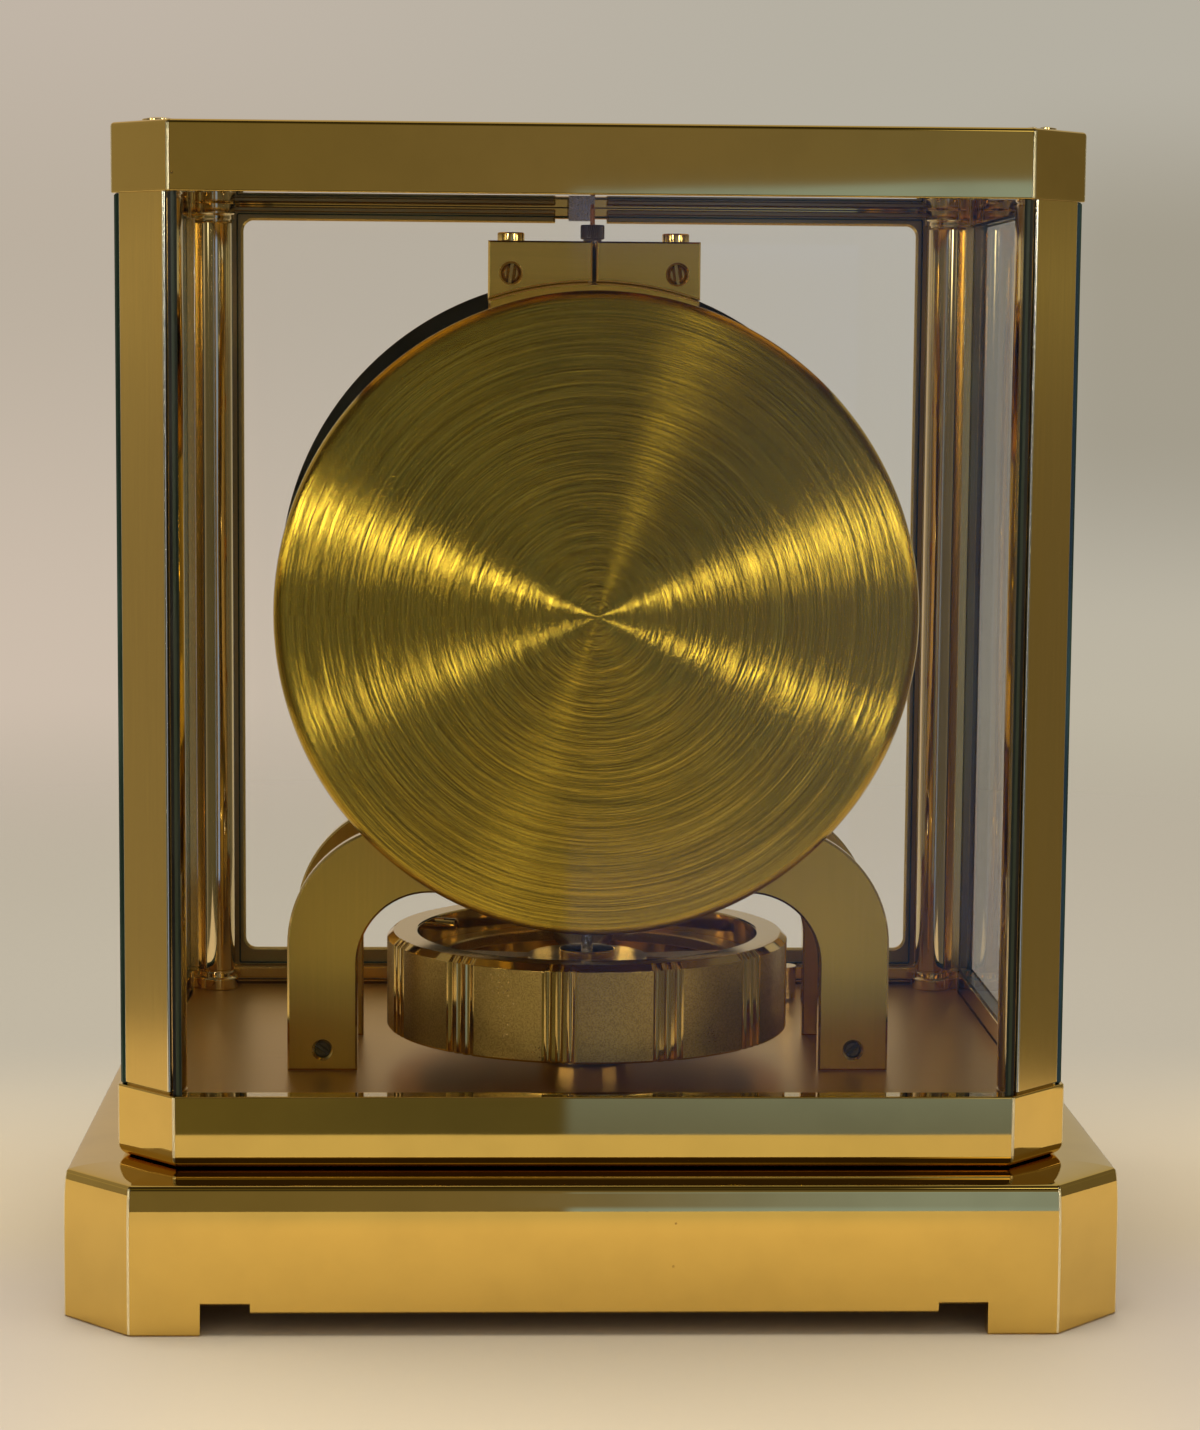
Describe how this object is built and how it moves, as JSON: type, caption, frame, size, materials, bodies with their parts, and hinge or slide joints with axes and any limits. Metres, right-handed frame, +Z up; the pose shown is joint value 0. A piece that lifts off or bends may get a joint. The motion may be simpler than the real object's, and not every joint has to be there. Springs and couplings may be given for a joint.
{
  "type": "atmospheric clock",
  "caption": "Glazed gilt mantel clock wound by a sealed bellows drum behind the movement, with a slow torsion balance ring under it and a dial on the far side",
  "frame": {"origin": "on the table, under the middle of the plinth", "axes": "+Z up. The bellows drum, which is the side in the picture, faces -Y and the dial faces +Y. +X is to the right in the picture"},
  "size_m": [0.209, 0.165, 0.2343],
  "materials": {
    "gilt": "polished gold plating with mirror reflections",
    "satin_brass": "satin gilding with a fine vertical grain",
    "brushed_brass": "gilding brushed in straight lines",
    "steel": "plain polished steel",
    "dark_steel": "dark brown-grey steel",
    "glass": "clear plate glass with ground edges"
  },
  "bodies": {
    "case": {"plinth": "gilt", "case_rim": "gilt", "floor_plate": "brushed_brass", "top_cap": "gilt", "top_screw_rear_left": "gilt", "top_screw_rear_right": "gilt", "top_screw_front_left": "gilt", "top_screw_front_right": "gilt", "post_rear_left": "satin_brass", "post_rear_right": "satin_brass", "post_front_left": "satin_brass", "post_front_right": "satin_brass", "rear_glass": "glass", "left_glass": "glass", "right_glass": "glass", "rear_plate": "satin_brass", "front_plate": "satin_brass", "suspension_bracket": "satin_brass", "foot_bar_left": "satin_brass", "foot_bar_right": "satin_brass", "leg_screw_left": "steel", "leg_screw_right": "steel", "bracket_screw_left": "steel", "bracket_screw_right": "steel", "bracket_head_left": "gilt", "bracket_head_right": "gilt", "suspension_nut": "dark_steel", "suspension_tube": "steel", "bellows_drum": "brushed_brass", "bellows_capsule": "steel", "bellows_spring": "steel", "bridge": "satin_brass", "dial_ring": "gilt", "spirit_level": "gilt"},
    "door": {"door_frame": "satin_brass", "door_glass": "glass"},
    "door_catch": {"door_catch": "steel"},
    "balance": {"balance_ring": "gilt", "balance_staff": "steel"},
    "bellows_plate": {"bellows_plate": "satin_brass"},
    "winding_chain": {"winding_chain": "steel"},
    "guide_pulley": {"guide_pulley": "gilt"},
    "ratchet_wheel": {"ratchet_wheel": "steel"},
    "click": {"click": "steel"},
    "barrel": {"barrel": "gilt", "mainspring": "steel"},
    "centre_wheel": {"centre_wheel": "gilt", "minute_hand": "dark_steel"},
    "third_wheel": {"third_wheel": "gilt"},
    "escape_wheel": {"escape_wheel": "gilt"},
    "anchor": {"anchor": "steel"},
    "minute_wheel": {"minute_wheel": "gilt"},
    "hour_wheel": {"hour_wheel": "gilt", "hour_hand": "dark_steel"},
    "lock_lever": {"lock_lever": "gilt"},
    "lock_plate": {"lock_plate": "gilt"},
    "levelling_wheel_left": {"levelling_wheel_left": "gilt"},
    "levelling_wheel_right": {"levelling_wheel_right": "gilt"},
    "levelling_foot_left": {"levelling_foot_left": "steel"},
    "levelling_foot_right": {"levelling_foot_right": "steel"}
  },
  "joints": [
    {"name": "door_lift", "type": "slide", "parent": "case", "child": "door", "axis": [0, 0, 1], "range_m": [0, 0.004]},
    {"name": "catch_slide", "type": "slide", "parent": "case", "child": "door_catch", "axis": [0, -1, 0], "range_m": [0, 0.0015], "stiffness_N_per_m": 500},
    {"name": "balance_turn", "type": "hinge", "parent": "case", "child": "balance", "pos_m": [0, -0.014, 0.0579], "axis": [0, 0, 1], "range_deg": [-270, 270], "stiffness_Nm_per_rad": 0.000006},
    {"name": "bellows_slide", "type": "slide", "parent": "case", "child": "bellows_plate", "axis": [0, 1, 0], "range_m": [0, 0.004], "deforming": ["bellows_capsule", "bellows_spring"]},
    {"name": "chain_run", "type": "slide", "parent": "case", "child": "winding_chain", "axis": [0, 0, 1], "range_m": [0, 0.0041]},
    {"name": "guide_pulley_spin", "type": "hinge", "parent": "case", "child": "guide_pulley", "pos_m": [-0.01205, -0.0165, 0.142], "axis": [1, 0, 0], "range_deg": [0, 52]},
    {"name": "ratchet_spin", "type": "hinge", "parent": "case", "child": "ratchet_wheel", "pos_m": [-0.01915, 0, 0.15467], "axis": [0, -1, 0], "range_deg": [0, 34]},
    {"name": "click_swing", "type": "hinge", "parent": "case", "child": "click", "pos_m": [-0.00615, -0.01, 0.15967], "axis": [0, -1, 0], "range_deg": [-8, 0], "stiffness_Nm_per_rad": 0.0001},
    {"name": "centre_spin", "type": "hinge", "parent": "case", "child": "centre_wheel", "pos_m": [0, 0, 0.1386], "axis": [0, -1, 0], "continuous": true},
    {"name": "barrel_spin", "type": "hinge", "parent": "case", "child": "barrel", "pos_m": [-0.01915, 0, 0.15467], "axis": [0, -1, 0], "continuous": true},
    {"name": "third_spin", "type": "hinge", "parent": "case", "child": "third_wheel", "pos_m": [0.01458, 0, 0.12147], "axis": [0, -1, 0], "continuous": true},
    {"name": "escape_spin", "type": "hinge", "parent": "case", "child": "escape_wheel", "pos_m": [0.009, 0, 0.102], "axis": [0, -1, 0], "continuous": true},
    {"name": "anchor_rock", "type": "hinge", "parent": "case", "child": "anchor", "pos_m": [0, -0.01, 0.093], "axis": [0, -1, 0], "range_deg": [-4, 4]},
    {"name": "minute_wheel_spin", "type": "hinge", "parent": "case", "child": "minute_wheel", "pos_m": [0, 0.013, 0.1186], "axis": [0, -1, 0], "continuous": true},
    {"name": "hour_spin", "type": "hinge", "parent": "case", "child": "hour_wheel", "pos_m": [0, 0.02, 0.1386], "axis": [0, -1, 0], "continuous": true},
    {"name": "lock_lever_turn", "type": "hinge", "parent": "case", "child": "lock_lever", "pos_m": [0.026, 0.05, 0.042], "axis": [0, 0, 1], "range_deg": [0, 36]},
    {"name": "lock_plate_lift", "type": "slide", "parent": "case", "child": "lock_plate", "axis": [0, 0, 1], "range_m": [0, 0.0046]},
    {"name": "levelling_turn_left", "type": "hinge", "parent": "case", "child": "levelling_wheel_left", "pos_m": [-0.072, 0.0691, 0.0036], "axis": [0, 0, 1], "range_deg": [0, 721]},
    {"name": "levelling_turn_right", "type": "hinge", "parent": "case", "child": "levelling_wheel_right", "pos_m": [0.072, 0.0691, 0.0036], "axis": [0, 0, 1], "range_deg": [0, 721]},
    {"name": "levelling_slide_left", "type": "slide", "parent": "case", "child": "levelling_foot_left", "axis": [0, 0, -1], "range_m": [0, 0.003]},
    {"name": "levelling_slide_right", "type": "slide", "parent": "case", "child": "levelling_foot_right", "axis": [0, 0, -1], "range_m": [0, 0.003]}
  ],
  "couplings": [
    {"joint": "chain_run", "follows": "bellows_slide", "ratio": 1},
    {"joint": "guide_pulley_spin", "follows": "bellows_slide", "rad_per_m": 217.39},
    {"joint": "ratchet_spin", "follows": "bellows_slide", "rad_per_m": 140.85},
    {"joint": "barrel_spin", "follows": "centre_spin", "ratio": -0.25},
    {"joint": "third_spin", "follows": "centre_spin", "ratio": -2},
    {"joint": "escape_spin", "follows": "centre_spin", "ratio": 4},
    {"joint": "minute_wheel_spin", "follows": "centre_spin", "ratio": -0.33333},
    {"joint": "hour_spin", "follows": "centre_spin", "ratio": 0.083333},
    {"joint": "lock_lever_turn", "follows": "lock_plate_lift", "rad_per_m": 132.8},
    {"joint": "levelling_turn_left", "follows": "levelling_slide_left", "rad_per_m": 4188.8},
    {"joint": "levelling_turn_right", "follows": "levelling_slide_right", "rad_per_m": 4188.8}
  ]
}
